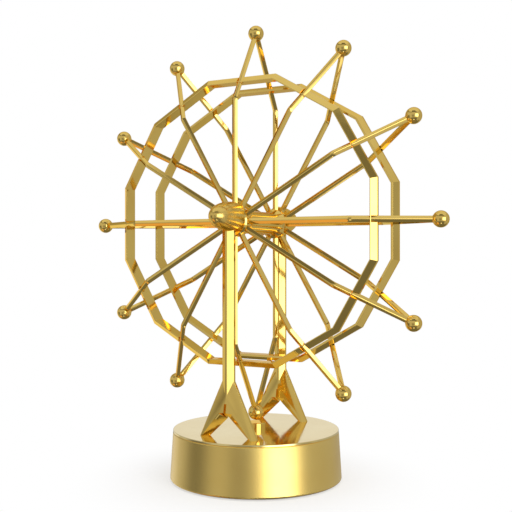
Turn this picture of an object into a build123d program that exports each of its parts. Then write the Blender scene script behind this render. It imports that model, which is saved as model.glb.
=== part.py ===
"""Desk-top kinetic ferris wheel: a spiked twelve-ball wheel turning between two forked uprights.

All sizes are in millimetres. +Z is up, X runs across the wheel's face and Y runs along its axle,
with the front at -Y. The origin is on the floor, at the centre of the round base.
"""

import os
from math import atan2, cos, degrees, radians, sin, tan

from build123d import *

# ---------------------------------------------------------------- driving dimensions
clock_count = 12  # balls, and spokes on each side
ball_circle_radius = 95.0
ball_radius = 3.9

base_height = 24.6
base_bottom_radius = 42.9
base_top_radius = 41.4
shell_wall = 2.0
foot_proud = 0.6  # how far the rubber feet stand out below the shell

post_radius = 5.0
post_height = 3.0
ball_gap = 1.0  # air between a passing ball and the post

rim_apothem = 70.4  # flat-to-centre distance of the rim's outer face
rim_thickness = 2.9
rim_inner_y = 10.0  # the bands' edges, counted from the wheel's mid-plane
rim_outer_y = 17.3
rim_bright_face = (2.3, 2.5)  # the slanting face on a rim's far side, along the axle and across it
rim_plain_face = (3.4, 1.8)  # and the one towards the wheel's mid-plane

spoke_width = 3.0  # across the wheel's face
spoke_thickness = 2.0
spoke_y = 21.1  # plane of the straight run beside the hub
spoke_bend_radius = 59.3  # where a spoke turns in towards its ball
spoke_facet = (0.75, 1.25)  # what each slanting face takes off a spoke's side and off its front
tenon_radius = 0.8
tenon_length = 1.6

drum_radius = 5.7
flange_radius = 7.5
flange_inner_y = 18.4
flange_outer_y = 23.2
axle_radius = 1.5

housing_radius = 7.25
housing_lift = 2.0  # the housing's centre line stands this far above the axle
housing_inner_y = 23.7
housing_tip_y = 41.7
bush_outer_radius = 3.0
bush_bore_radius = 1.55
bush_inner_y = 23.3
bush_length = 7.6

column_width = 6.3
column_depth = 5.2
column_front_flat = 1.1  # the narrow flats between the column's broad slanting faces
column_side_flat = 1.5
column_y = 26.8
fork_height = 26.8  # above the base's top, where the legs begin to spread
crotch_height = 9.0
slit_height = 15.6
slit_width = 1.3
leg_inner_x = 10.3  # foot of a leg, on the base
leg_outer_x = 15.5
fork_ridge_depth = 6.55  # half thickness of the fork at the base, on its middle line
fork_slope_out = 0.25  # how its faces fall back towards each leg's outer edge
fork_slope_up = 0.185  # and towards the column

# ---------------------------------------------------------------- levels
base_bottom_z = foot_proud
base_top_z = base_bottom_z + base_height
hub_z = base_top_z + post_height + ball_gap + ball_radius + ball_circle_radius

plate_edge = 1.15  # the part of the top plate that shows above the shell
plate_spigot = 1.65
plate_under_z = base_top_z - plate_edge - plate_spigot
cover_bottom_z = 1.2
cover_thickness = 2.8
cover_top_z = cover_bottom_z + cover_thickness
cover_radius = 40.55

running_gap = 0.05  # radial clearance of a shaft in its bore
seat_gap = 0.02  # radial clearance between fixed round parts
move_gap = 0.3  # air between parts that move past each other
screw_hole_gap = 0.1  # radial clearance of a screw in the part that it clamps
cut_margin = 1.0  # how far a cutter reaches past what it cuts

parts_folder = "parts"


def save(name, part):
    """Label a finished piece and write it under its own name."""
    part.label = name
    export_step(part, os.path.join(parts_folder, name + ".step"))


def shell_radius(z):
    """Outer radius of the base's sloping side at height z."""
    share = (z - base_bottom_z) / base_height
    return base_bottom_radius + share * (base_top_radius - base_bottom_radius)


# ---------------------------------------------------------------- base: shell and top plate
seam_chamfer = 0.28
bottom_round = 1.0
boss_radius = 3.4
boss_x = 35.1
boss_y = 12.8
boss_top_z = 14.0
boss_hole_depth = 7.2
cover_screw_radius = 1.25
switch_z = 13.0
switch_pad_y = 38.9
switch_pad_width = 14.0
switch_pad_height = 8.0
switch_pad_thickness = 2.4
finger_pocket = (10.0, 5.2)
finger_pocket_corner = 1.2
finger_pocket_depth = 0.7
knob_travel = 3.0
knob_width = 3.0
knob_height = 2.6


def make_base_shell():
    """Open cone with a recess for the cover below, four screw bosses and a pad for the switch."""
    rim_z = base_top_z - plate_edge
    with BuildPart() as shell:
        with BuildSketch(Plane.XZ):
            with BuildLine():
                Polyline(
                    (shell_radius(base_bottom_z) - shell_wall, base_bottom_z),
                    (shell_radius(base_bottom_z), base_bottom_z),
                    (shell_radius(rim_z), rim_z),
                    (shell_radius(rim_z) - shell_wall, rim_z),
                    close=True,
                )
            make_face()
        revolve(axis=Axis.Z)
        outer_edges = shell.edges().filter_by(GeomType.CIRCLE).sort_by(SortBy.RADIUS)
        fillet(outer_edges[-1], bottom_round)
        rim_edge = shell.edges().filter_by(GeomType.CIRCLE).group_by(Axis.Z)[-1].sort_by(SortBy.RADIUS)
        chamfer(rim_edge[-1], seam_chamfer)
        with BuildSketch(Plane.XY.offset(cover_top_z)):
            with GridLocations(2 * boss_x, 2 * boss_y, 2, 2):
                Circle(boss_radius)
        extrude(amount=boss_top_z - cover_top_z)
        with BuildSketch(Plane.XY.offset(switch_z - switch_pad_height / 2)):
            with Locations((0, switch_pad_y + switch_pad_thickness / 2)):
                Rectangle(switch_pad_width, switch_pad_thickness)
        extrude(amount=switch_pad_height)
        pilot_radius = cover_screw_radius + seat_gap
        with BuildSketch(Plane.XY.offset(cover_top_z)):
            with GridLocations(2 * boss_x, 2 * boss_y, 2, 2):
                Circle(pilot_radius)
        extrude(amount=boss_hole_depth, mode=Mode.SUBTRACT)
        slot_width = knob_width + knob_travel + 2 * move_gap
        outside_y = base_bottom_radius + cut_margin
        with BuildSketch(Plane.XZ.offset(-outside_y)):
            with Locations((0, switch_z)):
                Rectangle(slot_width, knob_height + 2 * move_gap)
        extrude(amount=outside_y - switch_pad_y + cut_margin, mode=Mode.SUBTRACT)
        with BuildSketch(Plane.XZ.offset(-outside_y)):
            with Locations((0, switch_z)):
                RectangleRounded(*finger_pocket, finger_pocket_corner)
        pocket_floor_y = shell_radius(switch_z) - finger_pocket_depth
        extrude(amount=outside_y - pocket_floor_y, mode=Mode.SUBTRACT)
    save("base_shell", shell.part)


column_screw_x = 12.2
column_screw_radius = 0.95
column_screw_depth = 3.6
stem_radius = 3.0


def make_top_plate():
    """Polished disc that closes the base: a visible edge over a spigot that drops into the shell."""
    spigot_radius = shell_radius(base_top_z - plate_edge) - shell_wall - 2 * running_gap
    with BuildPart() as plate:
        with BuildSketch(Plane.XY.offset(base_top_z - plate_edge)):
            Circle(base_top_radius)
        extrude(amount=plate_edge)
        rims = plate.edges().filter_by(GeomType.CIRCLE).sort_by(Axis.Z)
        chamfer(rims, seam_chamfer)
        with BuildSketch(Plane.XY.offset(plate_under_z)):
            Circle(spigot_radius)
        extrude(amount=plate_spigot)
        with BuildSketch(Plane.XY.offset(plate_under_z)):
            Circle(stem_radius + seat_gap)
            with GridLocations(2 * column_screw_x, 2 * column_y, 2, 2):
                Circle(column_screw_radius + screw_hole_gap)
        extrude(amount=plate_edge + plate_spigot, mode=Mode.SUBTRACT)
    save("top_plate", plate.part)


# ---------------------------------------------------------------- base: cover, battery bays, door
cell_radius = 7.2
cell_length = 49.0
nub_radius = 2.75
nub_length = 1.2
cell_y = 16.6
bay_half_length = 28.2
bay_half_width = 7.5
bay_wall = 1.15
bay_ceiling_z = 18.0
cell_z = 10.6
strip = 0.4  # thickness of a contact strip

door_half_length = 29.3
door_half_width = 25.3
door_thickness = 1.8
door_gap = 0.3
door_lid_gap = 0.2
door_hollow_radius = 6.0
door_hollow_depth = 0.9
hinge_y = -24.4
hinge_z = cover_bottom_z + door_thickness / 2
trunnion_radius = 0.5
trunnion_length = 1.0

pad_radius = 3.8
pad_recess = 0.4
pad_x = 35.0
pad_y = 33.2
pad_places = [(pad_x, 0), (-pad_x, 0), (0, pad_y), (0, -pad_y)]

screw_head_radius = 2.2
screw_head_height = 1.5
screw_head_gap = 0.15
screw_head_sink = 0.1  # below the cover's underside


def make_bottom_cover():
    """Disc with two battery bays standing on it, a recess for the door and seats for feet and screws."""
    recess_top_z = cover_bottom_z + door_thickness + door_lid_gap
    bay_outer = (2 * (bay_half_length + bay_wall), 2 * (bay_half_width + bay_wall))
    with BuildPart() as cover:
        with BuildSketch(Plane.XY.offset(cover_bottom_z)):
            Circle(cover_radius)
        extrude(amount=cover_thickness)
        with BuildSketch(Plane.XY.offset(cover_top_z)):
            with GridLocations(1, 2 * cell_y, 1, 2):
                Rectangle(*bay_outer)
        extrude(amount=bay_ceiling_z + bay_wall - cover_top_z)
        with BuildSketch(Plane.XY.offset(cover_bottom_z)):
            with GridLocations(1, 2 * cell_y, 1, 2):
                Rectangle(2 * bay_half_length, 2 * bay_half_width)
        extrude(amount=bay_ceiling_z - cover_bottom_z, mode=Mode.SUBTRACT)
        with BuildSketch(Plane.XY.offset(cover_bottom_z)):
            Rectangle(2 * (door_half_length + door_gap), 2 * (door_half_width + door_gap))
        extrude(amount=recess_top_z - cover_bottom_z, mode=Mode.SUBTRACT)
        with BuildSketch(Plane.XY.offset(cover_bottom_z)):
            with Locations(*pad_places):
                Circle(pad_radius + seat_gap)
        extrude(amount=pad_recess, mode=Mode.SUBTRACT)
        with BuildSketch(Plane.XY.offset(cover_bottom_z)):
            with GridLocations(2 * boss_x, 2 * boss_y, 2, 2):
                Circle(screw_head_radius + screw_head_gap)
        extrude(amount=screw_head_height + screw_head_sink, mode=Mode.SUBTRACT)
        with BuildSketch(Plane.XY.offset(cover_bottom_z)):
            with GridLocations(2 * boss_x, 2 * boss_y, 2, 2):
                Circle(cover_screw_radius + screw_hole_gap)
        extrude(amount=cover_thickness, mode=Mode.SUBTRACT)
        socket_end = door_half_length + door_gap + trunnion_length
        with BuildSketch(Plane.YZ.offset(-socket_end)):
            with Locations((hinge_y, hinge_z)):
                Circle(trunnion_radius + running_gap)
        extrude(amount=2 * socket_end, mode=Mode.SUBTRACT)
    save("bottom_cover", cover.part)


def make_battery_door():
    """Lid over both bays, with a rounded hinge edge, two trunnions and a finger hollow."""
    half = door_thickness / 2
    with BuildPart() as door:
        with BuildSketch(Plane.YZ.offset(-door_half_length)):
            with BuildLine():
                Line((door_half_width, hinge_z - half), (hinge_y, hinge_z - half))
                ThreePointArc(
                    (hinge_y, hinge_z - half), (hinge_y - half, hinge_z), (hinge_y, hinge_z + half)
                )
                Line((hinge_y, hinge_z + half), (door_half_width, hinge_z + half))
                Line((door_half_width, hinge_z + half), (door_half_width, hinge_z - half))
            make_face()
        extrude(amount=2 * door_half_length)
        trunnion_end = door_half_length + trunnion_length
        with BuildSketch(Plane.YZ.offset(-trunnion_end)):
            with Locations((hinge_y, hinge_z)):
                Circle(trunnion_radius)
        extrude(amount=2 * trunnion_end)
        with BuildSketch(Plane.XY.offset(cover_bottom_z)):
            with Locations((0, door_half_width)):
                Circle(door_hollow_radius)
        extrude(amount=door_hollow_depth, mode=Mode.SUBTRACT)
    save("battery_door", door.part)


def make_batteries():
    """Two penlight cells, one in each bay, pointing opposite ways."""
    with BuildPart() as cells:
        for side in (1, -1):
            tip_x = side * (bay_half_length - strip)
            nub_x = tip_x - side * nub_length
            with BuildSketch(Plane.YZ.offset(nub_x)):
                with Locations((side * cell_y, cell_z)):
                    Circle(cell_radius)
            extrude(amount=-side * cell_length)
            with BuildSketch(Plane.YZ.offset(nub_x)):
                with Locations((side * cell_y, cell_z)):
                    Circle(nub_radius)
            extrude(amount=side * nub_length)
    save("batteries", cells.part)


def make_battery_contacts():
    """A flat plate at the nub end and a bent leaf at the other end of each bay."""
    plate_side = 8.0
    leaf_width = 5.0
    leaf_half_height = 4.0
    knee_half_height = 1.5
    leaf_reach = 2 * bay_half_length - strip - nub_length - cell_length - running_gap
    with BuildPart() as contacts:
        for side in (1, -1):
            bay_end = side * bay_half_length
            with BuildSketch(Plane.YZ.offset(bay_end - side * strip)):
                with Locations((side * cell_y, cell_z)):
                    Rectangle(plate_side, plate_side)
            extrude(amount=side * strip)
            wall_x = -bay_end
            knee_x = wall_x + side * leaf_reach
            with BuildSketch(Plane.XZ.offset(-side * cell_y - leaf_width / 2)):
                with BuildLine():
                    Polyline(
                        (wall_x, cell_z - leaf_half_height),
                        (wall_x + side * strip, cell_z - leaf_half_height),
                        (wall_x + side * strip, cell_z + leaf_half_height - 2 * strip),
                        (knee_x - side * strip, cell_z + knee_half_height - strip),
                        (knee_x - side * strip, cell_z - knee_half_height),
                        (knee_x, cell_z - knee_half_height),
                        (knee_x, cell_z + knee_half_height),
                        (wall_x + side * strip, cell_z + leaf_half_height),
                        (wall_x, cell_z + leaf_half_height),
                        close=True,
                    )
                make_face()
            extrude(amount=leaf_width)
    save("battery_contacts", contacts.part)


def make_rubber_feet():
    """Four round pads let into the cover."""
    pad_chamfer = 0.3
    with BuildPart() as feet:
        with BuildSketch(Plane.XY):
            with Locations(*pad_places):
                Circle(pad_radius)
        extrude(amount=cover_bottom_z + pad_recess)
        chamfer(feet.edges().group_by(Axis.Z)[0], pad_chamfer)
    save("rubber_feet", feet.part)


def make_cover_screws():
    """Four pan-head screws that hold the cover to the shell's bosses."""
    head_z = cover_bottom_z + screw_head_sink
    screw_length = 9.0
    cross_slot = (2.6, 0.6)
    slot_depth = 0.8
    with BuildPart() as screws:
        with BuildSketch(Plane.XY.offset(head_z)):
            with GridLocations(2 * boss_x, 2 * boss_y, 2, 2):
                Circle(screw_head_radius)
        extrude(amount=screw_head_height)
        with BuildSketch(Plane.XY.offset(head_z)):
            with GridLocations(2 * boss_x, 2 * boss_y, 2, 2):
                Circle(cover_screw_radius)
        extrude(amount=screw_length)
        with BuildSketch(Plane.XY.offset(head_z)):
            with GridLocations(2 * boss_x, 2 * boss_y, 2, 2):
                Rectangle(*cross_slot)
                Rectangle(*reversed(cross_slot))
        extrude(amount=slot_depth, mode=Mode.SUBTRACT)
    save("cover_screws", screws.part)


# ---------------------------------------------------------------- base: drive coil, circuit, switch
bobbin_top_z = plate_under_z - seat_gap
bobbin_bottom_z = 6.0
bobbin_flange = 0.9
bobbin_radius = 7.4
bobbin_tube_radius = 3.7
winding_radius = 7.0
stem_bottom_z = 5.6
post_chamfer = 0.4


def make_centre_post():
    """Round post on the middle of the base; its stem is the drive coil's iron core."""
    with BuildPart() as post:
        with BuildSketch(Plane.XY.offset(base_top_z)):
            Circle(post_radius)
        extrude(amount=post_height)
        chamfer(post.edges().filter_by(GeomType.CIRCLE).sort_by(Axis.Z)[-1], post_chamfer)
        with BuildSketch(Plane.XY.offset(stem_bottom_z)):
            Circle(stem_radius)
        extrude(amount=base_top_z - stem_bottom_z)
    save("centre_post", post.part)


def make_coil_bobbin():
    """Spool pushed on the post's stem between the two battery bays."""
    with BuildPart() as bobbin:
        with BuildSketch(Plane.XY.offset(bobbin_bottom_z)):
            Circle(bobbin_tube_radius)
        extrude(amount=bobbin_top_z - bobbin_bottom_z)
        for level in (bobbin_bottom_z, bobbin_top_z - bobbin_flange):
            with BuildSketch(Plane.XY.offset(level)):
                Circle(bobbin_radius)
            extrude(amount=bobbin_flange)
        with BuildSketch(Plane.XY.offset(bobbin_bottom_z)):
            Circle(stem_radius + seat_gap)
        extrude(amount=bobbin_top_z - bobbin_bottom_z, mode=Mode.SUBTRACT)
    save("coil_bobbin", bobbin.part)


def make_coil_winding():
    """Copper wound between the bobbin's flanges, as one sleeve, because it never shows."""
    low = bobbin_bottom_z + bobbin_flange + seat_gap
    high = bobbin_top_z - bobbin_flange - seat_gap
    with BuildPart() as winding:
        with BuildSketch(Plane.XY.offset(low)):
            Circle(winding_radius)
            Circle(bobbin_tube_radius + seat_gap, mode=Mode.SUBTRACT)
        extrude(amount=high - low)
    save("coil_winding", winding.part)


board_size = (40.0, 14.0)
board_thickness = 1.2
board_y = -cell_y
chip_height = 1.3
chips = ((-13, 6, 5), (-3, 4, 4), (6, 3.2, 1.6), (13, 3.2, 1.6))  # place along the board, length, width


def make_circuit_board():
    """Board lying on the front battery bay, with its chip, transistor and two small parts."""
    board_z = bay_ceiling_z + bay_wall
    top_z = board_z + board_thickness
    with BuildPart() as board:
        with BuildSketch(Plane.XY.offset(board_z)):
            with Locations((0, board_y)):
                Rectangle(*board_size)
        extrude(amount=board_thickness)
        for x, length, width in chips:
            with BuildSketch(Plane.XY.offset(top_z)):
                with Locations((x, board_y)):
                    Rectangle(length, width)
            extrude(amount=chip_height)
    save("circuit_board", board.part)


switch_size = (12.0, 6.0, 6.4)
slider_plate = (4.8, 1.3, 4.2)
slider_pocket_depth = 1.9
knob_groove = 0.3  # width and depth of the grip grooves
knob_groove_pitch = 0.75
knob_recess = 0.05  # the knob's tip stays this far inside the base's widest circle


def make_switch_body():
    """Slide switch behind the shell's pad, with a pocket that the knob's plate slides in."""
    back_y = switch_pad_y - switch_size[1]
    pocket = (slider_plate[0] + knob_travel + 2 * move_gap, slider_plate[2] + move_gap)
    with BuildPart() as body:
        with BuildSketch(Plane.XZ.offset(-switch_pad_y)):
            with Locations((0, switch_z)):
                Rectangle(switch_size[0], switch_size[2])
        extrude(amount=switch_pad_y - back_y)
        with BuildSketch(Plane.XZ.offset(-switch_pad_y)):
            with Locations((0, switch_z)):
                Rectangle(*pocket)
        extrude(amount=slider_pocket_depth, mode=Mode.SUBTRACT)
    save("switch_body", body.part)


def make_switch_knob():
    """Ribbed knob that slides in the shell's slot; it stands at its off end."""
    off_x = -knob_travel / 2
    tip_y = base_bottom_radius - knob_recess
    plate_front_y = switch_pad_y - move_gap
    with BuildPart() as knob:
        with BuildSketch(Plane.XZ.offset(-plate_front_y)):
            with Locations((off_x, switch_z)):
                Rectangle(slider_plate[0], slider_plate[2])
        extrude(amount=slider_plate[1])
        with BuildSketch(Plane.XZ.offset(-tip_y)):
            with Locations((off_x, switch_z)):
                Rectangle(knob_width, knob_height)
        extrude(amount=tip_y - plate_front_y)
        for groove_x in (-knob_groove_pitch, 0, knob_groove_pitch):
            with BuildSketch(Plane.XZ.offset(-tip_y)):
                with Locations((off_x + groove_x, switch_z)):
                    Rectangle(knob_groove, knob_height)
            extrude(amount=knob_groove, mode=Mode.SUBTRACT)
    save("switch_knob", knob.part)


# ---------------------------------------------------------------- uprights and bearings
housing_z = hub_z + housing_lift
housing_axis = Axis((0, 0, housing_z), (0, 1, 0))
housing_inner_chamfer = 0.6
housing_barrel = 0.4  # straight length between the inner chamfer and the nose's curve
quarter_handle = 0.5523  # length of a curve's handles that makes it follow a quarter of an ellipse
saddle_clearance = 0.02
spigot_radius = 1.3
spigot_length = 1.3
spigot_end_gap = 0.2
column_root = 1.2  # how far above the slit the column's section ends, inside the fork
leg_chamfer = 1.4  # the slanting face along a leg's outer edge, across the fork
leg_chamfer_top = 0.25
notch_flare = 0.95  # how fast the notch widens from the fork's middle plane to its front and back
notch_roof_flare = 0.92
notch_roof_rise = 0.75


def level_plane(side, z):
    """Horizontal plane at height z, centred on the upright."""
    return Plane(origin=(0, side * column_y, z), x_dir=(1, 0, 0), z_dir=(0, 0, 1))


def column_section(side, z):
    """Eight-sided section of the upright: four broad slanting faces between four narrow flats."""
    half_width = column_width / 2
    half_depth = column_depth / 2
    front_half = column_front_flat / 2
    side_half = column_side_flat / 2
    with BuildSketch(level_plane(side, z)) as section:
        with BuildLine():
            Polyline(
                (-front_half, -half_depth),
                (front_half, -half_depth),
                (half_width, -side_half),
                (half_width, side_half),
                (front_half, half_depth),
                (-front_half, half_depth),
                (-half_width, side_half),
                (-half_width, -side_half),
                close=True,
            )
        make_face()
    return section.sketch


def fork_depth(x, height):
    """Half thickness of the fork, x away from its middle line, at a height above the base."""
    return fork_ridge_depth - fork_slope_out * x - fork_slope_up * height


def fork_section(side, hand, outer_x, chamfer_width, height):
    """Half section of the fork: faces that fall back from a ridge, and a slanting outer edge."""
    edge_x = outer_x - chamfer_width
    side_half = column_side_flat / 2
    with BuildSketch(level_plane(side, base_top_z + height)) as section:
        with BuildLine():
            Polyline(
                (0, -fork_depth(0, height)),
                (hand * edge_x, -fork_depth(edge_x, height)),
                (hand * outer_x, -side_half),
                (hand * outer_x, side_half),
                (hand * edge_x, fork_depth(edge_x, height)),
                (0, fork_depth(0, height)),
                close=True,
            )
        make_face()
    return section.sketch


def notch_section(side, out):
    """Outline of the notch between the legs; out is the distance from the fork's middle plane."""
    foot_x = leg_inner_x + notch_flare * abs(out)
    roof_x = slit_width / 2 + notch_roof_flare * abs(out)
    roof_z = base_top_z + crotch_height + notch_roof_rise * abs(out)
    upright = Plane(origin=(0, side * column_y + out, 0), x_dir=(1, 0, 0), z_dir=(0, -1, 0))
    with BuildSketch(upright) as section:
        with BuildLine():
            Polyline(
                (-foot_x, base_top_z),
                (-roof_x, roof_z),
                (roof_x, roof_z),
                (foot_x, base_top_z),
                close=True,
            )
        make_face()
    return section.sketch


def housing_section(side, grow):
    """Half section of the bearing housing, a short barrel that runs out into an elliptical nose."""
    radius = housing_radius + grow
    nose_start_y = housing_inner_y + housing_inner_chamfer + housing_barrel
    tip_y = housing_tip_y + grow
    nose_length = tip_y - nose_start_y
    with BuildSketch(Plane.XY.offset(housing_z)) as section:
        with BuildLine():
            Bezier(
                (radius, side * nose_start_y),
                (radius, side * (nose_start_y + quarter_handle * nose_length)),
                (quarter_handle * radius, side * tip_y),
                (0, side * tip_y),
            )
            Polyline(
                (radius, side * nose_start_y),
                (radius, side * (housing_inner_y + housing_inner_chamfer)),
                (radius - housing_inner_chamfer, side * housing_inner_y),
                (0, side * housing_inner_y),
                (0, side * tip_y),
            )
        make_face()
    return section.sketch


def make_column(name, side):
    """Upright with a saddle and spigot under the bearing, parting into two legs above the base."""
    slit_top_z = base_top_z + slit_height
    cutter_reach = fork_ridge_depth + cut_margin
    with BuildPart() as column:
        loft([column_section(side, slit_top_z + column_root), column_section(side, housing_z)])
        for hand in (1, -1):
            foot = fork_section(side, hand, leg_outer_x, leg_chamfer, 0)
            top = fork_section(side, hand, column_width / 2, leg_chamfer_top, fork_height)
            loft([foot, top], ruled=True)
        for out in (cutter_reach, -cutter_reach):
            loft([notch_section(side, 0), notch_section(side, out)], ruled=True, mode=Mode.SUBTRACT)
        with BuildSketch(Plane.XZ):
            with Locations((0, base_top_z + (crotch_height + slit_height) / 2)):
                Rectangle(slit_width, slit_height - crotch_height + slit_width)
        extrude(amount=base_top_radius, both=True, mode=Mode.SUBTRACT)
        revolve(housing_section(side, saddle_clearance), axis=housing_axis, mode=Mode.SUBTRACT)
        with BuildSketch(level_plane(side, housing_z - housing_radius - cut_margin)):
            Circle(spigot_radius)
        extrude(amount=cut_margin + spigot_length)
        with BuildSketch(level_plane(side, base_top_z)):
            with Locations((column_screw_x, 0), (-column_screw_x, 0)):
                Circle(column_screw_radius + seat_gap)
        extrude(amount=column_screw_depth + seat_gap, mode=Mode.SUBTRACT)
    save(name, column.part)


def make_column_screws():
    """Four small screws that come up through the top plate into the legs."""
    head_radius = 1.9
    head_height = 1.4
    with BuildPart() as screws:
        with BuildSketch(Plane.XY.offset(plate_under_z - head_height)):
            with GridLocations(2 * column_screw_x, 2 * column_y, 2, 2):
                Circle(head_radius)
        extrude(amount=head_height)
        with BuildSketch(Plane.XY.offset(plate_under_z)):
            with GridLocations(2 * column_screw_x, 2 * column_y, 2, 2):
                Circle(column_screw_radius)
        extrude(amount=base_top_z - plate_under_z + column_screw_depth)
    save("column_screws", screws.part)


def make_bearing_housing(name, side):
    """Bullet-nosed barrel on top of an upright, bored below its centre for the bush."""
    with BuildPart() as housing:
        revolve(housing_section(side, 0), axis=housing_axis)
        with BuildSketch(Plane.XZ.offset(-side * housing_inner_y)):
            with Locations((0, hub_z)):
                Circle(bush_outer_radius + seat_gap)
        extrude(amount=-side * (bush_length + cut_margin), mode=Mode.SUBTRACT)
        with BuildSketch(level_plane(side, housing_z - housing_radius - cut_margin)):
            Circle(spigot_radius + seat_gap)
        extrude(amount=cut_margin + spigot_length + spigot_end_gap, mode=Mode.SUBTRACT)
    save(name, housing.part)


def make_bearing_bushes():
    """Two bronze bushes, one in each housing; their faces also take the wheel's end play."""
    with BuildPart() as bushes:
        for side in (-1, 1):
            with BuildSketch(Plane.XZ.offset(-side * bush_inner_y)):
                with Locations((0, hub_z)):
                    Circle(bush_outer_radius)
                    Circle(bush_bore_radius, mode=Mode.SUBTRACT)
            extrude(amount=-side * bush_length)
    save("bearing_bushes", bushes.part)


# ---------------------------------------------------------------- wheel
root_overlap = 1.0  # how far a spoke's blank reaches into the flange before it is cut to fit


def clock_angle(index):
    """Angle of a clock position from the top, clockwise as seen from the front."""
    return radians(360 / clock_count * index)


def spoke_plane(index):
    """Plane that holds a pair of spokes: local x runs out along the radius, local y to the front."""
    turn = clock_angle(index)
    return Plane(
        origin=(0, 0, hub_z),
        x_dir=(sin(turn), 0, cos(turn)),
        z_dir=(cos(turn), 0, -sin(turn)),
    )


def spoke_outline(front, grow):
    """Side outline of a bent spoke, from the hub to its ball; grow widens it for a slot."""
    half = spoke_thickness / 2 + grow
    fall = atan2(spoke_y, ball_circle_radius - spoke_bend_radius)
    miter = half * tan(fall / 2)
    tip_out = half * sin(fall)
    tip_side = half * cos(fall)
    return [
        (flange_radius - root_overlap, front * (spoke_y - half)),
        (spoke_bend_radius - miter, front * (spoke_y - half)),
        (ball_circle_radius - tip_out, -front * tip_side),
        (ball_circle_radius + tip_out, front * tip_side),
        (spoke_bend_radius + miter, front * (spoke_y + half)),
        (flange_radius - root_overlap, front * (spoke_y + half)),
    ]


def make_spoke(index, front):
    """Ridged bar that runs out beside the hub, then turns in to its ball; a tenon holds its root."""
    side_name = "front" if front == 1 else "back"
    with BuildPart() as spoke:
        with BuildSketch(spoke_plane(index)):
            with BuildLine():
                Polyline(*spoke_outline(front, 0), close=True)
            make_face()
        extrude(amount=spoke_width / 2, both=True)
        across = Axis((0, 0, hub_z), spoke_plane(index).z_dir)
        for end in (0, -1):
            flank = spoke.faces().sort_by(across)[end]
            long_edges = flank.edges().filter_by(lambda edge: edge.length > flange_radius)
            chamfer(long_edges, *spoke_facet, reference=flank)
        with BuildSketch(Plane.XZ):
            with Locations((0, hub_z)):
                Circle(flange_radius + seat_gap)
        extrude(amount=2 * spoke_y, both=True, mode=Mode.SUBTRACT)
        turn = clock_angle(index)
        ball_centre = (ball_circle_radius * sin(turn), 0, hub_z + ball_circle_radius * cos(turn))
        with Locations(ball_centre):
            Sphere(ball_radius + seat_gap, mode=Mode.SUBTRACT)
        root = Plane(origin=(0, -front * spoke_y, hub_z), z_dir=(sin(turn), 0, cos(turn)))
        with BuildSketch(root.offset(flange_radius - tenon_length)):
            Circle(tenon_radius)
        extrude(amount=tenon_length + root_overlap)
    save(f"{side_name}_spoke_{index + 1:02d}", spoke.part)


def make_ball(index):
    """Plated ball magnet at the meeting point of a front and a back spoke."""
    turn = clock_angle(index)
    with BuildPart() as ball:
        with Locations((ball_circle_radius * sin(turn), 0, hub_z + ball_circle_radius * cos(turn))):
            Sphere(ball_radius)
    save(f"ball_{index + 1:02d}", ball.part)


def rim_outline(front, y, apothem):
    """Twelve-sided outline about the axle, on the plane at a distance y from the wheel's mid-plane."""
    with BuildSketch(Plane.XZ.offset(front * y)) as outline:
        with Locations((0, hub_z)):
            half_turn = clock_angle(1) / 2
            RegularPolygon(apothem / cos(half_turn), clock_count, rotation=degrees(half_turn))
    return outline.sketch


def make_rim(name, front):
    """Twelve-sided band, ridged on its outside, with a slot in each side for the spoke it carries."""
    with BuildPart() as rim:
        loft(
            [
                rim_outline(front, rim_inner_y, rim_apothem - rim_plain_face[1]),
                rim_outline(front, rim_inner_y + rim_plain_face[0], rim_apothem),
                rim_outline(front, rim_outer_y - rim_bright_face[0], rim_apothem),
                rim_outline(front, rim_outer_y, rim_apothem - rim_bright_face[1]),
            ],
            ruled=True,
        )
        room = rim_outline(front, rim_inner_y - cut_margin, rim_apothem - rim_thickness)
        extrude(room, amount=front * (rim_outer_y - rim_inner_y + 2 * cut_margin), mode=Mode.SUBTRACT)
        for index in range(clock_count):
            with BuildSketch(spoke_plane(index)):
                with BuildLine():
                    Polyline(*spoke_outline(front, running_gap), close=True)
                make_face()
            extrude(amount=spoke_width / 2 + running_gap, both=True, mode=Mode.SUBTRACT)
    save(name, rim.part)


def make_hub_spool():
    """Turned spool: a drum that flares into a flange on each side, with a socket for every tenon."""
    end_chamfer = 0.7
    flare_start_y = 13.0
    flare_hollow = 0.45  # how far the flare's curve sinks below a straight slope
    flare_middle_radius = (drum_radius + flange_radius) / 2 - flare_hollow
    bore_radius = axle_radius + seat_gap / 2
    socket_end_gap = 0.1
    with BuildPart() as spool:
        with BuildSketch(Plane.XY.offset(hub_z)):
            with BuildLine():
                for side in (1, -1):
                    Polyline((bore_radius, 0), (bore_radius, side * flange_outer_y))
                    Polyline(
                        (bore_radius, side * flange_outer_y),
                        (flange_radius - end_chamfer, side * flange_outer_y),
                        (flange_radius, side * (flange_outer_y - end_chamfer)),
                        (flange_radius, side * flange_inner_y),
                    )
                    ThreePointArc(
                        (flange_radius, side * flange_inner_y),
                        (flare_middle_radius, side * (flare_start_y + flange_inner_y) / 2),
                        (drum_radius, side * flare_start_y),
                    )
                    Line((drum_radius, side * flare_start_y), (drum_radius, 0))
            make_face()
        revolve(axis=Axis((0, 0, hub_z), (0, 1, 0)))
        for side in (1, -1):
            for index in range(clock_count):
                turn = clock_angle(index)
                root = Plane(origin=(0, side * spoke_y, hub_z), z_dir=(sin(turn), 0, cos(turn)))
                with BuildSketch(root.offset(flange_radius - tenon_length - socket_end_gap)):
                    Circle(tenon_radius + seat_gap)
                extrude(amount=tenon_length + cut_margin, mode=Mode.SUBTRACT)
    save("hub_spool", spool.part)


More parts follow.
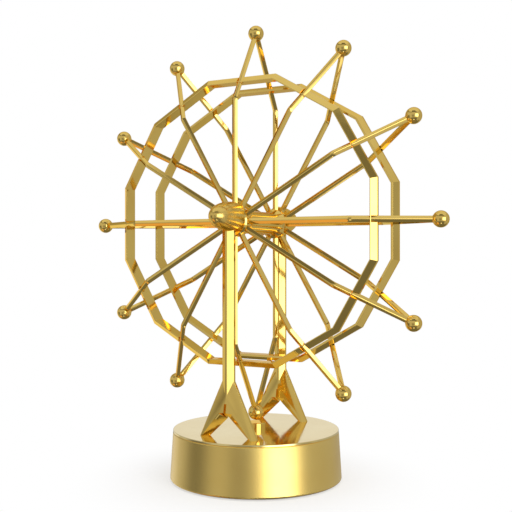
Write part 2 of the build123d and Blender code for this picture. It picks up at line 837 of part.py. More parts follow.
def make_axle():
    """Steel axle fixed in the spool; both ends turn in the bushes."""
    end_room = 0.4
    end_chamfer = 0.3
    axle_half = bush_inner_y + bush_length - end_room
    with BuildPart() as axle:
        with BuildSketch(Plane.XZ):
            with Locations((0, hub_z)):
                Circle(axle_radius)
        extrude(amount=axle_half, both=True)
        chamfer(axle.edges().filter_by(GeomType.CIRCLE), end_chamfer)
    save("axle", axle.part)


os.makedirs(parts_folder, exist_ok=True)
make_base_shell()
make_top_plate()
make_bottom_cover()
make_battery_door()
make_batteries()
make_battery_contacts()
make_rubber_feet()
make_cover_screws()
make_centre_post()
make_coil_bobbin()
make_coil_winding()
make_circuit_board()
make_switch_body()
make_switch_knob()
make_column("column_front", -1)
make_column("column_back", 1)
make_column_screws()
make_bearing_housing("bearing_housing_front", -1)
make_bearing_housing("bearing_housing_back", 1)
make_bearing_bushes()
make_axle()
make_hub_spool()
make_rim("rim_front", 1)
make_rim("rim_back", -1)
for clock_index in range(clock_count):
    make_spoke(clock_index, 1)
    make_spoke(clock_index, -1)
    make_ball(clock_index)
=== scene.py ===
# %% [markdown]
# # A desk-top ferris wheel in polished gold plate
#
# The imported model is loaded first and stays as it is: it carries the sizes and the motion. This
# script adds the finish. It re-makes the pieces whose edges catch the light, gives every other
# node a material, and sets up the floor, the light and the camera.

from math import atan2, cos, degrees, pi, radians, sin, tan

import bmesh
import bpy
from mathutils import Matrix, Vector


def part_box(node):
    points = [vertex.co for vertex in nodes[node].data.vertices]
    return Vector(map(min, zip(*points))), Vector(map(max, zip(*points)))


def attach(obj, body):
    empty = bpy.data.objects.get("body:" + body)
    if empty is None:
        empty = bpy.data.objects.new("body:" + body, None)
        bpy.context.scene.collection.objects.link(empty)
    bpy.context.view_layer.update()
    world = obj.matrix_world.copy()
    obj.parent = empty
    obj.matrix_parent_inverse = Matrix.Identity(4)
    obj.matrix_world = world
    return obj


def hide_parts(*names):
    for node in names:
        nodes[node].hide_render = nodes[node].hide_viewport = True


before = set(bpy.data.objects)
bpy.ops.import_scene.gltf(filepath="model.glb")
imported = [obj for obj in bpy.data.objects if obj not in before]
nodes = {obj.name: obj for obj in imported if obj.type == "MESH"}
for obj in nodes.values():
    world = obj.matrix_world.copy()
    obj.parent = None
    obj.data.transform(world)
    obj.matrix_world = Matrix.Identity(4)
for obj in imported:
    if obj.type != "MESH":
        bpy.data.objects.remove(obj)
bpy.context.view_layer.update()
mm = 0.001

# %% [markdown]
# ## Measures
#
# Everything that the new pieces share with the frame is read from the frame's boxes, so a piece
# cannot drift from the node that it stands for. The rest are the maker's own values in millimetres.

# %% Measures from the frame
hub_low, hub_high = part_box("hub_spool")
ball_low, ball_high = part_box("ball_01")
plate_low, plate_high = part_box("top_plate")
post_low, post_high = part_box("centre_post")

hub_z = (hub_low[2] + hub_high[2]) / 2
ball_radius = (ball_high[2] - ball_low[2]) / 2
ball_circle = (ball_high[2] + ball_low[2]) / 2 - hub_z
plate_top = plate_high[2]
plate_radius = plate_high[0]
post_radius = post_high[0]
post_top = post_high[2]
clock_count = 12
print("hub at", round(hub_z / mm, 2), "mm, balls of", round(ball_radius / mm, 2), "mm on a circle of",
      round(ball_circle / mm, 2), "mm")

# %% [markdown]
# ## Three small helpers
#
# Colours are written as the hex values that a paint chart shows, which are sRGB, while the shader
# works with linear light, so one function turns the one into the other. A second adds a node to a
# tree, sets its options and joins its inputs, so a material reads as a list of what it is made of.
# A third starts a named material and hands back what its patterns are joined to.

# %% Colour and node helpers
def linear(hex_colour):
    """Linear RGBA of an sRGB hex colour."""
    channels = [int(hex_colour[i:i + 2], 16) / 255 for i in (0, 2, 4)]
    return (*[c / 12.92 if c <= 0.04045 else ((c + 0.055) / 1.055) ** 2.4 for c in channels], 1.0)


def add_node(tree, kind, settings=None, inputs=None):
    """A new node with its options set and each input given a value or joined to a socket."""
    node = tree.nodes.new(kind)
    for option, value in (settings or {}).items():
        setattr(node, option, value)
    for socket, value in (inputs or {}).items():
        if isinstance(value, bpy.types.NodeSocket):
            tree.links.new(value, node.inputs[socket])
        else:
            node.inputs[socket].default_value = value
    return node


MIX_FACTOR, MIX_A, MIX_B, MIX_COLOUR = 0, 6, 7, 2  # sockets of a Mix node that mixes colours


def new_material(name, metallic=0.0, **sockets):
    """A named material, its tree, its shader and the object coordinates that patterns read."""
    material = bpy.data.materials.new(name)
    material.use_nodes = True
    tree = material.node_tree
    shader = tree.nodes["Principled BSDF"]
    shader.inputs["Metallic"].default_value = metallic
    for socket, value in sockets.items():
        shader.inputs[socket.replace("_", " ")].default_value = value
    place = add_node(tree, "ShaderNodeTexCoord").outputs["Object"]
    return material, tree, shader, place


print("helpers ready")

# %% [markdown]
# ## Camera
#
# The photograph is taken level with a point a little below the axle, from 29 degrees to the right
# of the wheel's front. A level camera keeps the uprights parallel in the picture. The lens and
# the distance give the same foreshortening, with the one wheel filling the frame.

# %% Camera
camera_turn = radians(28.78)
camera_distance = 440.8 * mm
camera_height = 111.4 * mm
nearest_seen = 10 * mm
camera_data = bpy.data.cameras.new("camera")
camera_data.lens = 61.7
camera_data.sensor_width = 36.0
camera_data.clip_start = nearest_seen
camera = bpy.data.objects.new("camera", camera_data)
bpy.context.scene.collection.objects.link(camera)
camera.location = (camera_distance * sin(camera_turn), -camera_distance * cos(camera_turn),
                   camera_height)
camera.rotation_euler = (pi / 2, 0, camera_turn)
bpy.context.scene.camera = camera
bpy.context.scene.view_settings.view_transform = "Standard"
print("camera", [round(c, 3) for c in camera.location])

# %% [markdown]
# ## Light
#
# Polished metal shows nothing but its surroundings, so the surroundings are the light. A
# photographer stands such a thing in a white tent, puts a large soft light at the front right and
# hangs a few grey cards beside it, so that each facet reflects something else than its neighbour.
# The world shader is that tent. A card is a patch of the sky, given in degrees: the compass
# direction of its middle from the wheel's front, its half width and its soft edge, the same three
# for its height over the horizon, and how bright it is, where 1 is white. A later card hangs in
# front of an earlier one. What the camera sees directly is the plain white background.

# %% World: the plan of the tent
white = "FFFFFF"
tent_wall = 0.56
diffuse_level = 0.86
all_round = 180
cards = {  # middle, half width and soft edge by the compass; the same three in height; brightness
    "roof cloth": (0, all_round, 1, 90, 40, 12, 0.72),
    "dark card over the front": (20, 30, 8, 52, 10, 6, 0.17),
    "dark card over the light": (54, 11, 6, 41, 5, 4, 0.2),
    "gap under the roof": (-60, 53, 8, 39, 2.5, 3, 0.2),
    "table below": (0, all_round, 1, -90, 54, 8, 0.18),
    "gold reflector, low left": (-55, 20, 10, -54, 10, 6, 0.85),
    "grey card, low left": (-86, 14, 8, -35, 6, 5, 0.42),
    "grey card, low right": (102, 20, 10, -43, 9, 6, 0.48),
    "bright spot below": (24, 9, 6, -62, 5, 4, 1.5),
    "grey cloth, behind": (172, 46, 20, 4, 34, 8, 0.47),
    "white card, behind left": (-151, 12, 6, 11, 3, 3, 0.82),
    "grey card, left": (-104, 12, 6, 23, 12, 5, 0.37),
    "white card, left": (-115, 9, 7, -17, 21, 5, 0.88),
    "dark card, left": (-57, 6, 24, -12, 10, 10, 0.16),
    "grey card, front": (9, 9, 13, -10, 10, 12, 0.31),
    "grey card, right": (101, 5, 9, -6, 14, 10, 0.4),
    "soft light, front right": (61, 15, 11, 0, 13, 9, 3.0),
}
card_colours = {"gold reflector, low left": "FFC98A"}  # every other card is white or grey
print("tent with", len(cards), "cards")

# %% World: directions
world = bpy.data.worlds.new("light_tent")
bpy.context.scene.world = world
world.use_nodes = True
tree = world.node_tree
tree.nodes.clear()
direction = add_node(tree, "ShaderNodeTexCoord").outputs["Generated"]
parts = add_node(tree, "ShaderNodeSeparateXYZ", inputs={0: direction})
backwards = add_node(tree, "ShaderNodeMath", {"operation": "MULTIPLY"},
                     {0: parts.outputs["Y"], 1: -1.0})
compass = add_node(tree, "ShaderNodeMath", {"operation": "ARCTAN2"},
                   {0: parts.outputs["X"], 1: backwards.outputs[0]})
height = add_node(tree, "ShaderNodeMath", {"operation": "ARCSINE"}, {0: parts.outputs["Z"]})
print("directions for", world.name)

# %% World: hanging the cards
def hung(tree, angle, middle, half, edge, label):
    """How much of a card lies at an angle: 1 on the card, falling to 0 across its soft edge."""
    away = add_node(tree, "ShaderNodeMath", {"operation": "SUBTRACT", "label": label},
                    {0: angle, 1: radians(middle)})
    around = add_node(tree, "ShaderNodeMath", {"operation": "WRAP"},
                      {0: away.outputs[0], 1: pi, 2: -pi})
    apart = add_node(tree, "ShaderNodeMath", {"operation": "ABSOLUTE"}, {0: around.outputs[0]})
    share = add_node(tree, "ShaderNodeMapRange", {"interpolation_type": "SMOOTHSTEP"},
                     {"Value": apart.outputs[0], "From Min": radians(half),
                      "From Max": radians(half + edge), "To Min": 1.0, "To Max": 0.0})
    return share.outputs[0]


def shade(brightness, colour=white):
    """Linear colour of a card, brighter than white where it is a lamp."""
    return (*[c * brightness for c in linear(colour)[:3]], 1.0)


tent = shade(tent_wall)
for label, (turn, half_width, side_edge, rise, half_height, rise_edge, brightness) in cards.items():
    across = hung(tree, compass.outputs[0], turn, half_width, side_edge, label)
    upright = hung(tree, height.outputs[0], rise, half_height, rise_edge, label)
    share = add_node(tree, "ShaderNodeMath", {"operation": "MULTIPLY"}, {0: across, 1: upright})
    card = shade(brightness, card_colours.get(label, white))
    joined = add_node(tree, "ShaderNodeMix", {"data_type": "RGBA"},
                      {MIX_FACTOR: share.outputs[0], MIX_A: tent, MIX_B: card})
    tent = joined.outputs[MIX_COLOUR]
print("cards hung")

# %% World: what each kind of ray sees
path = add_node(tree, "ShaderNodeLightPath")
lit = add_node(tree, "ShaderNodeMix", {"data_type": "RGBA"},
               {MIX_FACTOR: path.outputs["Is Diffuse Ray"], MIX_A: tent, MIX_B: shade(diffuse_level)})
seen = add_node(tree, "ShaderNodeMix", {"data_type": "RGBA"},
                {MIX_FACTOR: path.outputs["Is Camera Ray"], MIX_A: lit.outputs[MIX_COLOUR],
                 MIX_B: linear(white)})
background = add_node(tree, "ShaderNodeBackground",
                      inputs={"Color": seen.outputs[MIX_COLOUR], "Strength": 1.0})
add_node(tree, "ShaderNodeOutputWorld", inputs={"Surface": background.outputs[0]})
print("world ready")

# %% [markdown]
# ## Floor
#
# The floor is a wide, pale disc that catches a soft shadow near the object and turns into the
# plain white background further out, so no horizon shows. It is set dressing. Metal does not see
# it: on the real thing the base's wall shows the tent down to its foot, with no line where a table
# would begin. From below it is clear, so the battery door can be seen.

# %% Floor
floor_radius = 3.0
shadow_start, shadow_end = 45 * mm, 95 * mm  # where the paper starts to turn white, and is white
least_white = 0.55
floor_mesh = bpy.data.meshes.new("floor")
bm = bmesh.new()
bmesh.ops.create_circle(bm, cap_ends=True, segments=96, radius=floor_radius)
bm.to_mesh(floor_mesh)
bm.free()
floor = bpy.data.objects.new("floor", floor_mesh)
bpy.context.scene.collection.objects.link(floor)
floor.visible_glossy = False
print("floor laid,", floor_radius, "m to its edge")

# %% The floor's paper
floor_paper, tree, shader, place = new_material("floor_matt_paper", Roughness=0.9)
shader.inputs["Base Color"].default_value = linear("FAFAFA")
shader.inputs["Specular IOR Level"].default_value = 0.0
reach = add_node(tree, "ShaderNodeVectorMath", {"operation": "LENGTH"}, {0: place})
far = add_node(tree, "ShaderNodeMapRange", {"interpolation_type": "SMOOTHSTEP"},
               {"Value": reach.outputs["Value"], "From Min": shadow_start, "From Max": shadow_end,
                "To Min": least_white, "To Max": 1.0})
eye = add_node(tree, "ShaderNodeLightPath")
open_floor = add_node(tree, "ShaderNodeMath", {"operation": "MULTIPLY"},
                      {0: far.outputs[0], 1: eye.outputs["Is Camera Ray"]})
backdrop = add_node(tree, "ShaderNodeEmission", inputs={"Color": linear(white), "Strength": 1.0})
blend = add_node(tree, "ShaderNodeMixShader",
                 inputs={0: open_floor.outputs[0], 1: shader.outputs[0], 2: backdrop.outputs[0]})
underside = add_node(tree, "ShaderNodeNewGeometry")
clear = add_node(tree, "ShaderNodeBsdfTransparent")
one_sided = add_node(tree, "ShaderNodeMixShader",
                     inputs={0: underside.outputs["Backfacing"], 1: blend.outputs[0],
                             2: clear.outputs[0]})
tree.links.new(one_sided.outputs[0], tree.nodes["Material Output"].inputs["Surface"])
floor_mesh.materials.append(floor_paper)
print(floor_paper.name)

# %% [markdown]
# ## Key lamp
#
# The tent's world light alone leaves the floor's shadow without a direction, so one large, weak
# lamp stands at the front right, where the soft light of the tent is. Metal does not see it, as the
# tent's own card is already there.

# %% Key lamp
lamp_size = (0.7, 0.9)
lamp_watts = 3.4
lamp_place = (0.62, -0.42, 0.95)
lamp_target = (0, 0, 0.1)
lamp_data = bpy.data.lights.new("soft_key", "AREA")
lamp_data.shape = "RECTANGLE"
lamp_data.size, lamp_data.size_y = lamp_size
lamp_data.energy = lamp_watts
lamp = bpy.data.objects.new("soft_key", lamp_data)
bpy.context.scene.collection.objects.link(lamp)
lamp.location = lamp_place
lamp.rotation_euler = (Vector(lamp_target) - lamp.location).to_track_quat("-Z", "Y").to_euler()
lamp.visible_glossy = False
print("key lamp ready")

# %% [markdown]
# ## Gold plate, polished
#
# The wheel, its balls and the uprights are brass, cast or cut, then polished on a mop and gold
# plated. The eye sees a mirror that is never quite flat: the mop leaves a faint waviness a
# centimetre long, the plating is a little deeper in tone here and there, and handling leaves a
# breath of haze. Colour and haze come from noise, the waviness is a very shallow bump. Gold stays a
# little warm until the view is almost along its surface, which a tint on the shader's edge colour
# gives. The two bearing housings are too small for the mop: they are tumbled, which leaves the same
# plate a softer shine.

# %% Polished gold plate
def polished_plate(name, light_hex, deep_hex, haze, wave_height, edge_hex="FFE6B0"):
    """Metal plate with cloudy tone, a breath of haze and the shallow waves that a mop leaves."""
    cloud_mm, smear_mm, wave_mm, grain_mm = 22, 3.5, 9, 0.9
    grain_share = 0.03  # how much of the waves' height the fine grain adds
    material, tree, shader, place = new_material(name, metallic=1.0, Specular_Tint=linear(edge_hex))
    cloud = add_node(tree, "ShaderNodeTexNoise",
                     inputs={"Vector": place, "Scale": 1 / (cloud_mm * mm), "Detail": 3.0})
    tone = add_node(tree, "ShaderNodeMapRange",
                    inputs={"Value": cloud.outputs["Fac"], "From Min": 0.3, "From Max": 0.7})
    colour = add_node(tree, "ShaderNodeMix", {"data_type": "RGBA"}, {
        MIX_FACTOR: tone.outputs[0], MIX_A: linear(light_hex), MIX_B: linear(deep_hex)})
    tree.links.new(colour.outputs[MIX_COLOUR], shader.inputs["Base Color"])
    smear = add_node(tree, "ShaderNodeTexNoise", inputs={
        "Vector": place, "Scale": 1 / (smear_mm * mm), "Detail": 5.0, "Roughness": 0.65})
    polish = add_node(tree, "ShaderNodeMapRange", inputs={
        "Value": smear.outputs["Fac"], "From Min": 0.35, "From Max": 0.75,
        "To Min": haze[0], "To Max": haze[1]})
    tree.links.new(polish.outputs[0], shader.inputs["Roughness"])
    waves = add_node(tree, "ShaderNodeTexNoise",
                     inputs={"Vector": place, "Scale": 1 / (wave_mm * mm), "Detail": 1.0})
    grain = add_node(tree, "ShaderNodeTexNoise",
                     inputs={"Vector": place, "Scale": 1 / (grain_mm * mm), "Detail": 3.0})
    relief = add_node(tree, "ShaderNodeMath", {"operation": "MULTIPLY_ADD"},
                      {0: grain.outputs["Fac"], 1: grain_share, 2: waves.outputs["Fac"]})
    bump = add_node(tree, "ShaderNodeBump",
                    inputs={"Strength": 1.0, "Distance": wave_height, "Height": relief.outputs[0]})
    tree.links.new(bump.outputs[0], shader.inputs["Normal"])
    return material


gold_plate = polished_plate("gold_plate_mop_polished", "FAD97A", "F2CD6E", (0.05, 0.11), 0.03 * mm)
gold_tumbled = polished_plate("gold_plate_tumbled", "FAD97A", "F2CD6E", (0.2, 0.27), 0.02 * mm)
print(gold_plate.name, "and", gold_tumbled.name)

# %% [markdown]
# ## Gold plate, lapped
#
# The base's top is ground flat on a lapping plate before it is plated, so it is the flattest mirror
# of all. It is seen at a low angle, where its reflection looks paler than the rest. That paleness
# is painted in: its plate is given a lighter gold than the other gold parts, and its edge colour
# is left white.

# %% Lapped gold plate
# the lighter gold here is a painted paleness that stands in for the plate's paler reflection at a low
# angle
gold_lapped_painted_pale = polished_plate("gold_plate_lapped_painted_pale", "F8E2A0", "F3DA92", (0.07, 0.13), 0.012 * mm,
                            edge_hex="FFFFFF")
print(gold_lapped_painted_pale.name)

# %% [markdown]
# ## Gold plate, turned satin
#
# The base's wall is turned on a lathe and left with its finest tool marks, rings that run round
# it. Such rings smear a reflection up and down and keep its sides fairly crisp, which is why the
# wall shows upright bands. The shader's anisotropy does this, along a tangent that runs round the
# axis. The rings themselves, 0.05 mm apart, are too fine to be seen one by one, so they are drawn
# at 0.6 mm and so faintly that they only keep the bands from looking printed.

# %% Turned satin gold
def turned_satin(name, light_hex, deep_hex):
    """Lathe-turned plate: fine rings about the upright axis over a soft sheen."""
    ring_mm, cloud_mm = 0.6, 18
    ring_share = 0.03  # how much the rings add to the cloudy tone
    ring_height = 0.0002 * mm
    sheen_low, sheen_high = 0.262, 0.27
    material, tree, shader, place = new_material(name, metallic=1.0, Anisotropic=0.65)
    axis = add_node(tree, "ShaderNodeSeparateXYZ", inputs={0: place})
    rings = add_node(tree, "ShaderNodeTexNoise", {"noise_dimensions": "1D"}, {
        "W": axis.outputs["Z"], "Scale": 1 / (ring_mm * mm), "Detail": 4.0, "Roughness": 0.7})
    cloud = add_node(tree, "ShaderNodeTexNoise",
                     inputs={"Vector": place, "Scale": 1 / (cloud_mm * mm), "Detail": 4.0})
    mixed = add_node(tree, "ShaderNodeMath", {"operation": "MULTIPLY_ADD"},
                     {0: rings.outputs["Fac"], 1: ring_share, 2: cloud.outputs["Fac"]})
    tone = add_node(tree, "ShaderNodeMapRange",
                    inputs={"Value": mixed.outputs[0], "From Min": 0.36, "From Max": 0.76})
    colour = add_node(tree, "ShaderNodeMix", {"data_type": "RGBA"}, {
        MIX_FACTOR: tone.outputs[0], MIX_A: linear(light_hex), MIX_B: linear(deep_hex)})
    tree.links.new(colour.outputs[MIX_COLOUR], shader.inputs["Base Color"])
    sheen = add_node(tree, "ShaderNodeMapRange", inputs={
        "Value": rings.outputs["Fac"], "From Min": 0.3, "From Max": 0.7,
        "To Min": sheen_low, "To Max": sheen_high})
    tree.links.new(sheen.outputs[0], shader.inputs["Roughness"])
    around = add_node(tree, "ShaderNodeTangent", {"direction_type": "RADIAL", "axis": "Z"})
    tree.links.new(around.outputs[0], shader.inputs["Tangent"])
    bump = add_node(tree, "ShaderNodeBump", inputs={
        "Strength": 0.25, "Distance": ring_height, "Height": rings.outputs["Fac"]})
    tree.links.new(bump.outputs[0], shader.inputs["Normal"])
    return material


gold_satin = turned_satin("gold_plate_turned_satin", "F9D980", "F3D076")
print(gold_satin.name)

# %% [markdown]
# ## The other finishes
#
# The parts that hardly show are still what they are: a ground steel axle, bronze bushes, black
# moulded ABS, rubber pads, zinc-plated screws and, inside, the cells and the drive coil. They
# differ in colour, in roughness and in the size of their grain, so one function makes them all.

# %% Grained finishes
def grained(name, light_hex, dark_hex, roughness, grain_mm, grain_height_mm, metallic=0.0, **sockets):
    """A finish with a fine even grain in its tone, its gloss and its relief."""
    cloud_mm = 14
    gloss_spread = 0.05
    material, tree, shader, place = new_material(name, metallic, **sockets)
    grain = add_node(tree, "ShaderNodeTexNoise", inputs={
        "Vector": place, "Scale": 1 / (grain_mm * mm), "Detail": 4.0, "Roughness": 0.6})
    cloud = add_node(tree, "ShaderNodeTexNoise",
                     inputs={"Vector": place, "Scale": 1 / (cloud_mm * mm), "Detail": 2.0})
    tone = add_node(tree, "ShaderNodeMath", {"operation": "MULTIPLY"},
                    {0: grain.outputs["Fac"], 1: cloud.outputs["Fac"]})
    spread = add_node(tree, "ShaderNodeMapRange",
                      inputs={"Value": tone.outputs[0], "From Min": 0.12, "From Max": 0.4})
    colour = add_node(tree, "ShaderNodeMix", {"data_type": "RGBA"}, {
        MIX_FACTOR: spread.outputs[0], MIX_A: linear(dark_hex), MIX_B: linear(light_hex)})
    tree.links.new(colour.outputs[MIX_COLOUR], shader.inputs["Base Color"])
    gloss = add_node(tree, "ShaderNodeMapRange", inputs={
        "Value": grain.outputs["Fac"], "From Min": 0.3, "From Max": 0.7,
        "To Min": roughness - gloss_spread, "To Max": roughness + gloss_spread})
    tree.links.new(gloss.outputs[0], shader.inputs["Roughness"])
    bump = add_node(tree, "ShaderNodeBump", inputs={
        "Strength": 0.7, "Distance": grain_height_mm * mm, "Height": grain.outputs["Fac"]})
    tree.links.new(bump.outputs[0], shader.inputs["Normal"])
    return material


print("grained finish ready")

# %% A finish for each slot
finishes = {
    "gold_plate": gold_plate,
    "gold_mirror": gold_lapped_painted_pale,
    "satin_gold": gold_satin,
    # cylindrical grinding leaves a bright grey with a fine, slightly blurred gleam
    "axle_steel": grained("steel_ground", "C9CBCE", "B4B6BA", 0.22, 0.3, 0.004, metallic=1.0),
    # pressed from powder, so its brown is dull and faintly speckled by pores
    "bronze": grained("bronze_sintered", "C08A55", "9C6A3D", 0.38, 0.35, 0.01, metallic=1.0),
    # the mould's spark-eroded skin gives a soft, even black without sharp reflections
    "black_abs": grained("abs_moulded_black", "232326", "17171A", 0.48, 0.45, 0.02),
    # the same plastic from a smoother mould, a shade lighter, so the knob stands out
    "knob_abs": grained("abs_moulded_knob", "2C2C30", "1D1D20", 0.42, 0.4, 0.015),
    # warm, dusty black with hardly any gleam
    "rubber": grained("rubber_moulded", "34322F", "22211F", 0.78, 0.5, 0.03),
    # bright zinc, bluish grey and a little cloudy
    "zinc_screw": grained("steel_zinc_plated", "C4C7C9", "A6AAAD", 0.3, 0.4, 0.006, metallic=1.0),
    # rolled and plated, so it is smooth and warmer than steel
    "nickel_strip": grained("nickel_rolled_strip", "CFCBC0", "B8B4A8", 0.26, 0.4, 0.004, metallic=1.0),
    # a thin film drawn tight over the cell, with a broad soft highlight
    "cell_jacket": grained("pvc_shrink_jacket", "3C5568", "2E4454", 0.35, 1.2, 0.004),
    # brown-red under its varnish; windings are too fine to show, so a coarser grain stands for them
    "copper_wire": grained("copper_enamelled", "C4703C", "A85A2C", 0.3, 0.35, 0.02, metallic=1.0),
    # undyed nylon, milky and slightly waxy
    "bobbin_nylon": grained("nylon_moulded", "E4E0D2", "D3CEBD", 0.5, 0.6, 0.01),
    # green resin over woven glass, dull and a little mottled
    "board_laminate": grained("glass_epoxy_laminate", "2E6B45", "235538", 0.4, 0.5, 0.006),
}
for name, node in nodes.items():
    tumbled = name.startswith("bearing_housing")
    for socket in node.material_slots:
        socket.material = gold_tumbled if tumbled else finishes[socket.material.name]
print(len(finishes), "finishes on", len(nodes), "nodes")

# %% [markdown]
# ## From a bmesh to a piece
#
# Every new piece ends the same way: the mesh becomes an object at the origin, its faces are shaded
# smooth with real corners kept sharp, it gets its finish, it rides on its body and it stands for
# its node. Normals weighted by face area keep the flats flat, right up to their rounded edges.

# %% Finishing a piece
def make_piece(name, bm, slot, body, node, corner=40):
    """Turns a bmesh into a finished piece that stands for a node."""
    mesh = bpy.data.meshes.new(name)
    bm.to_mesh(mesh)
    bm.free()
    mesh.shade_smooth()
    mesh.set_sharp_from_angle(angle=radians(corner))
    mesh.materials.append(finishes[slot])
    piece = bpy.data.objects.new(name, mesh)
    bpy.context.scene.collection.objects.link(piece)
    weighted = piece.modifiers.new("flat_faces", "WEIGHTED_NORMAL")
    weighted.keep_sharp = True
    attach(piece, body)
    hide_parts(node)
    return piece


def round_edges(bm, edges, radius, segments=3):
    """Rounds some edges, as polishing does."""
    bmesh.ops.bevel(bm, geom=list(edges), offset=radius, offset_type="OFFSET", affect="EDGES",
                    segments=segments, profile=0.5, material=-1, clamp_overlap=True)


def turn_of(index):
    """Angle of a clock position from the top, clockwise as seen from the front."""
    return 2 * pi * index / clock_count


def clock_matrix(index):
    """Turns a piece modelled at twelve o'clock about the hub to its place."""
    return Matrix.Translation((0, 0, hub_z)) @ Matrix.Rotation(turn_of(index), 4, "Y")


print("piece helpers ready")

# %% [markdown]
# ## Spokes
#
# A spoke is a bar, 3 by 2 mm, that runs out beside the hub and is bent in towards its ball. It has
# a ridge down its front, as the uprights have, so it shows a light and a dark facet side by side. It
# could be a curve with a bevel, but then the facets twist, so a lozenge with rounded corners is
# drawn once and pulled out along the bar, a face at a time: straight, round the bend and in to the
# ball. The bar stands at twelve o'clock and is then turned to its hour; a mirrored copy is the back.

# %% Spoke sizes
spoke_width = 3.0 * mm
spoke_thickness = 2.0 * mm
spoke_side = 21.1 * mm
spoke_bend = 59.3 * mm
spoke_root = 7.2 * mm
corner_share = 16  # percent of a facet that the rounding of a ridge takes, at each of its ends
facet_swell = 0.16 * mm  # what the lozenge loses at its ridges by their rounding
bend_radius = 3.0 * mm
bend_steps = 4
end_in_ball = 0.55 * ball_radius  # the bar's end lies hidden in its ball, this far from the middle
fall = atan2(spoke_side, ball_circle - spoke_bend)  # angle between the straight and the slanting run
print("a spoke falls in by", round(degrees(fall), 1), "degrees")


# %% One bent spoke
def bent_bar():
    """The front spoke at twelve o'clock, about the hub."""
    bend_setback = bend_radius * tan(fall / 2)
    straight_end = spoke_bend - bend_setback
    slant = (ball_circle - end_in_ball - spoke_bend) / cos(fall) - bend_setback
    bm = bmesh.new()
    bmesh.ops.create_circle(bm, cap_ends=True, segments=4, radius=1.0)
    half_sizes = (spoke_width / 2 + facet_swell, spoke_thickness / 2 + facet_swell, 1)
    bmesh.ops.scale(bm, vec=half_sizes, verts=bm.verts)
    bmesh.ops.bevel(bm, geom=bm.verts, offset=corner_share, offset_type="PERCENT", affect="VERTICES",
                    segments=3, profile=0.5, material=-1)
    bmesh.ops.translate(bm, vec=(0, -spoke_side, spoke_root), verts=bm.verts)
    end = pull_face(bm, list(bm.faces)[0], (0, 0, straight_end - spoke_root))
    pivot = Vector((0, bend_radius - spoke_side, straight_end))
    one_step = Matrix.Rotation(-fall / bend_steps, 3, "X")
    for _ in range(bend_steps):
        end = pull_face(bm, end, (0, 0, 0))
        bmesh.ops.rotate(bm, verts=end.verts, cent=pivot, matrix=one_step)
    pull_face(bm, end, (0, slant * sin(fall), slant * cos(fall)))
    bmesh.ops.recalc_face_normals(bm, faces=bm.faces)
    return bm


def pull_face(bm, face, move):
    """Extrudes a face, moves it and hands back the new end face."""
    pulled = bmesh.ops.extrude_face_region(bm, geom=[face])["geom"]
    end = [item for item in pulled if isinstance(item, bmesh.types.BMFace)][0]
    bmesh.ops.translate(bm, verts=end.verts, vec=move)
    return end


def mirror_to_back(bm):
    """Reflects a front piece to the back and turns its faces outwards again."""
    bmesh.ops.scale(bm, vec=(1, -1, 1), verts=bm.verts)
    bmesh.ops.reverse_faces(bm, faces=bm.faces)


for index in range(clock_count):
    for side in ("front", "back"):
        bm = bent_bar()
        if side == "back":
            mirror_to_back(bm)
        bmesh.ops.transform(bm, matrix=clock_matrix(index), verts=bm.verts)
        node = f"{side}_spoke_{index + 1:02d}"
        make_piece(node + "_bar", bm, "gold_plate", "wheel", node, corner=60)
print(2 * clock_count, "spokes")

# %% [markdown]
# ## Balls
#
# Each ball is a magnet, ground round and plated with the rest. A sphere alone would sit on the
# spokes like a bead on wire, so each ball also has two low seats where the bars are joined to it.
# A seat is a short curved profile, spun about its spoke's line.

# %% Turned shapes
def turned(profile, steps):
    """Spins a profile of (radius, height) points about the Z axis and closes its ends."""
    on_the_axis = 0.0001 * mm  # copies of a point on the axis that fall together become one
    bm = bmesh.new()
    points = [bm.verts.new((r, 0, z)) for r, z in profile]
    line = [bm.edges.new(pair) for pair in zip(points, points[1:])]
    bmesh.ops.spin(bm, geom=points + line, cent=(0, 0, 0), axis=(0, 0, 1), angle=2 * pi, steps=steps,
                   use_merge=True, use_duplicate=False)
    bmesh.ops.remove_doubles(bm, verts=bm.verts, dist=on_the_axis)
    bmesh.ops.recalc_face_normals(bm, faces=bm.faces)
    return bm


def join_into(bm, other, matrix):
    """Moves a second bmesh into place and adds it to the first."""
    bmesh.ops.transform(other, matrix=matrix, verts=other.verts)
    carrier = bpy.data.meshes.new("carrier")
    other.to_mesh(carrier)
    other.free()
    bm.from_mesh(carrier)
    bpy.data.meshes.remove(carrier)


print("turning helper ready")

# %% Balls with their seats
seat_points = (  # radius and distance from the ball's middle, in mm
    (0, 3.2), (2.05, 3.2), (2.05, 3.33), (1.75, 3.57), (1.4, 3.79), (1.05, 3.93), (0, 3.98))
seat_profile = [(r * mm, z * mm) for r, z in seat_points]
seat_steps = 32
ball_steps, ball_rings = 64, 40
for index in range(clock_count):
    bm = bmesh.new()
    bmesh.ops.create_uvsphere(bm, u_segments=ball_steps, v_segments=ball_rings, radius=ball_radius)
    for hand in (1, -1):
        join_into(bm, turned(seat_profile, seat_steps), Matrix.Rotation(hand * (pi - fall), 4, "X"))
    to_hour = clock_matrix(index) @ Matrix.Translation((0, 0, ball_circle))
    bmesh.ops.transform(bm, matrix=to_hour, verts=bm.verts)
    node = f"ball_{index + 1:02d}"
    make_piece(node + "_plated", bm, "gold_plate", "wheel", node)
print(clock_count, "balls")

# %% [markdown]
# ## Rims
#
# Each rim is a band of twelve flats, with a slanting face on either side of its outer edge, so it
# flashes as the wheel turns, and a close slot where each spoke passes through. It could be spun and
# its slots cut with a Boolean, but the slots are already exact in the CAD node. So the mesh starts
# as a copy of the node: its loose triangles are merged and flat neighbours are dissolved into whole
# faces. Then only the band's own edges are rounded, which gives them their thin light line.

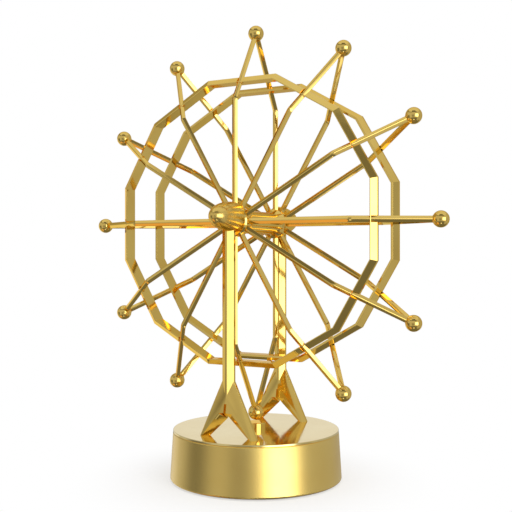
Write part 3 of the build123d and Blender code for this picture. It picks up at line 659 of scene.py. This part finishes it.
# %% A node's copy with whole flat faces
def copy_of(node):
    """The mesh of a node as a bmesh, its triangles merged back into flat faces."""
    same_point = 0.001 * mm
    same_plane = radians(0.4)
    bm = bmesh.new()
    bm.from_mesh(nodes[node].data)
    bmesh.ops.remove_doubles(bm, verts=bm.verts, dist=same_point)
    bmesh.ops.dissolve_limit(bm, angle_limit=same_plane, verts=bm.verts, edges=bm.edges)
    return bm


def from_middle(vert):
    """How far a point of a rim lies from the middle of its flat, where the slot is."""
    out, up = vert.co.x, vert.co.z - hub_z
    angle = atan2(out, up)
    flat = round(angle / turn_of(1)) * turn_of(1)
    return abs(sin(angle - flat)) * Vector((out, up)).length


print("copying helper ready")

# %% Rims
rim_edge_round = 0.16 * mm
rim_corner = radians(20)  # two faces that meet at more than this make an edge of the band
slot_reach = 2.4 * mm  # an edge that stays nearer to the middle of its flat belongs to the slot
for side in ("front", "back"):
    node = f"rim_{side}"
    bm = copy_of(node)
    corners = [e for e in bm.edges if e.calc_face_angle(0) > rim_corner
               and max(from_middle(v) for v in e.verts) > slot_reach]
    round_edges(bm, corners, rim_edge_round, segments=2)
    make_piece(node + "_band", bm, "gold_plate", "wheel", node, corner=30)
    print(node, "edges rounded:", len(corners))

# %% [markdown]
# ## Uprights
#
# An upright is a long bar of eight flats that parts into two faceted legs. Its facets were settled
# in the CAD model, and they have to meet at the same ridges here, so it is copied in the same way
# and the long corners between the facets are rounded as a polishing mop would.

# %% Uprights
upright_round = 0.26 * mm
facet_corner = radians(11)  # two facets that meet at more than this have a ridge between them
shortest_ridge = 1.2 * mm
above_plate = plate_top + 0.01 * mm
saddle_reach = 1.2 * mm  # how far the highest ridge may end above the housing's lowest point
for side in ("front", "back"):
    node = f"column_{side}"
    bm = copy_of(node)
    saddle_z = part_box(f"bearing_housing_{side}")[0][2]
    corners = [e for e in bm.edges
               if e.calc_face_angle(0) > facet_corner and e.calc_length() > shortest_ridge
               and above_plate < max(v.co.z for v in e.verts) < saddle_z + saddle_reach]
    round_edges(bm, corners, upright_round, segments=2)
    make_piece(node + "_polished", bm, "gold_plate", "base", node, corner=50)
    print(node, "corners rounded:", len(corners))

# %% [markdown]
# ## Top plate and post
#
# Both are turned parts: half of the section is drawn as a few points and spun. Their outer corners
# are rounded before the spin by a short chain of points, which costs less than bevelling a ring.

# %% Rounded corner of a profile
def rounded_corner(radius, height, size, count=4):
    """Points of a quarter round at the outer top corner of a profile, from the side to the top."""
    return [(radius - size + size * cos(a), height - size + size * sin(a))
            for a in [pi / 2 * i / count for i in range(count + 1)]]


print("a corner is rounded by", len(rounded_corner(1, 1, 1)), "points")

# %% Top plate
plate_edge = 1.15 * mm
plate_round = 0.28 * mm
spigot_radius = 39.3 * mm
stem_hole = 3.02 * mm
plate_steps = 192
plate_base = plate_low[2]
lip_base = plate_top - plate_edge  # under the lip that rests on the shell
profile = [
    (stem_hole, plate_base),
    (spigot_radius, plate_base),
    (spigot_radius, lip_base),
    (plate_radius - plate_round, lip_base),
    (plate_radius, lip_base + plate_round),
    *rounded_corner(plate_radius, plate_top, plate_round),
    (stem_hole, plate_top),
    (stem_hole, plate_base),
]
make_piece("top_plate_lapped", turned(profile, plate_steps), "gold_mirror", "base", "top_plate")
print("top plate turned")

# %% Post
post_round = 0.45 * mm
stem_radius = 3.0 * mm
post_steps = 96
post_base = post_low[2]
profile = [
    (0, post_base),
    (stem_radius, post_base),
    (stem_radius, plate_top),
    (post_radius, plate_top),
    *rounded_corner(post_radius, post_top, post_round),
    (0, post_top),
]
make_piece("centre_post_turned", turned(profile, post_steps), "gold_plate", "base", "centre_post")
print("post turned")
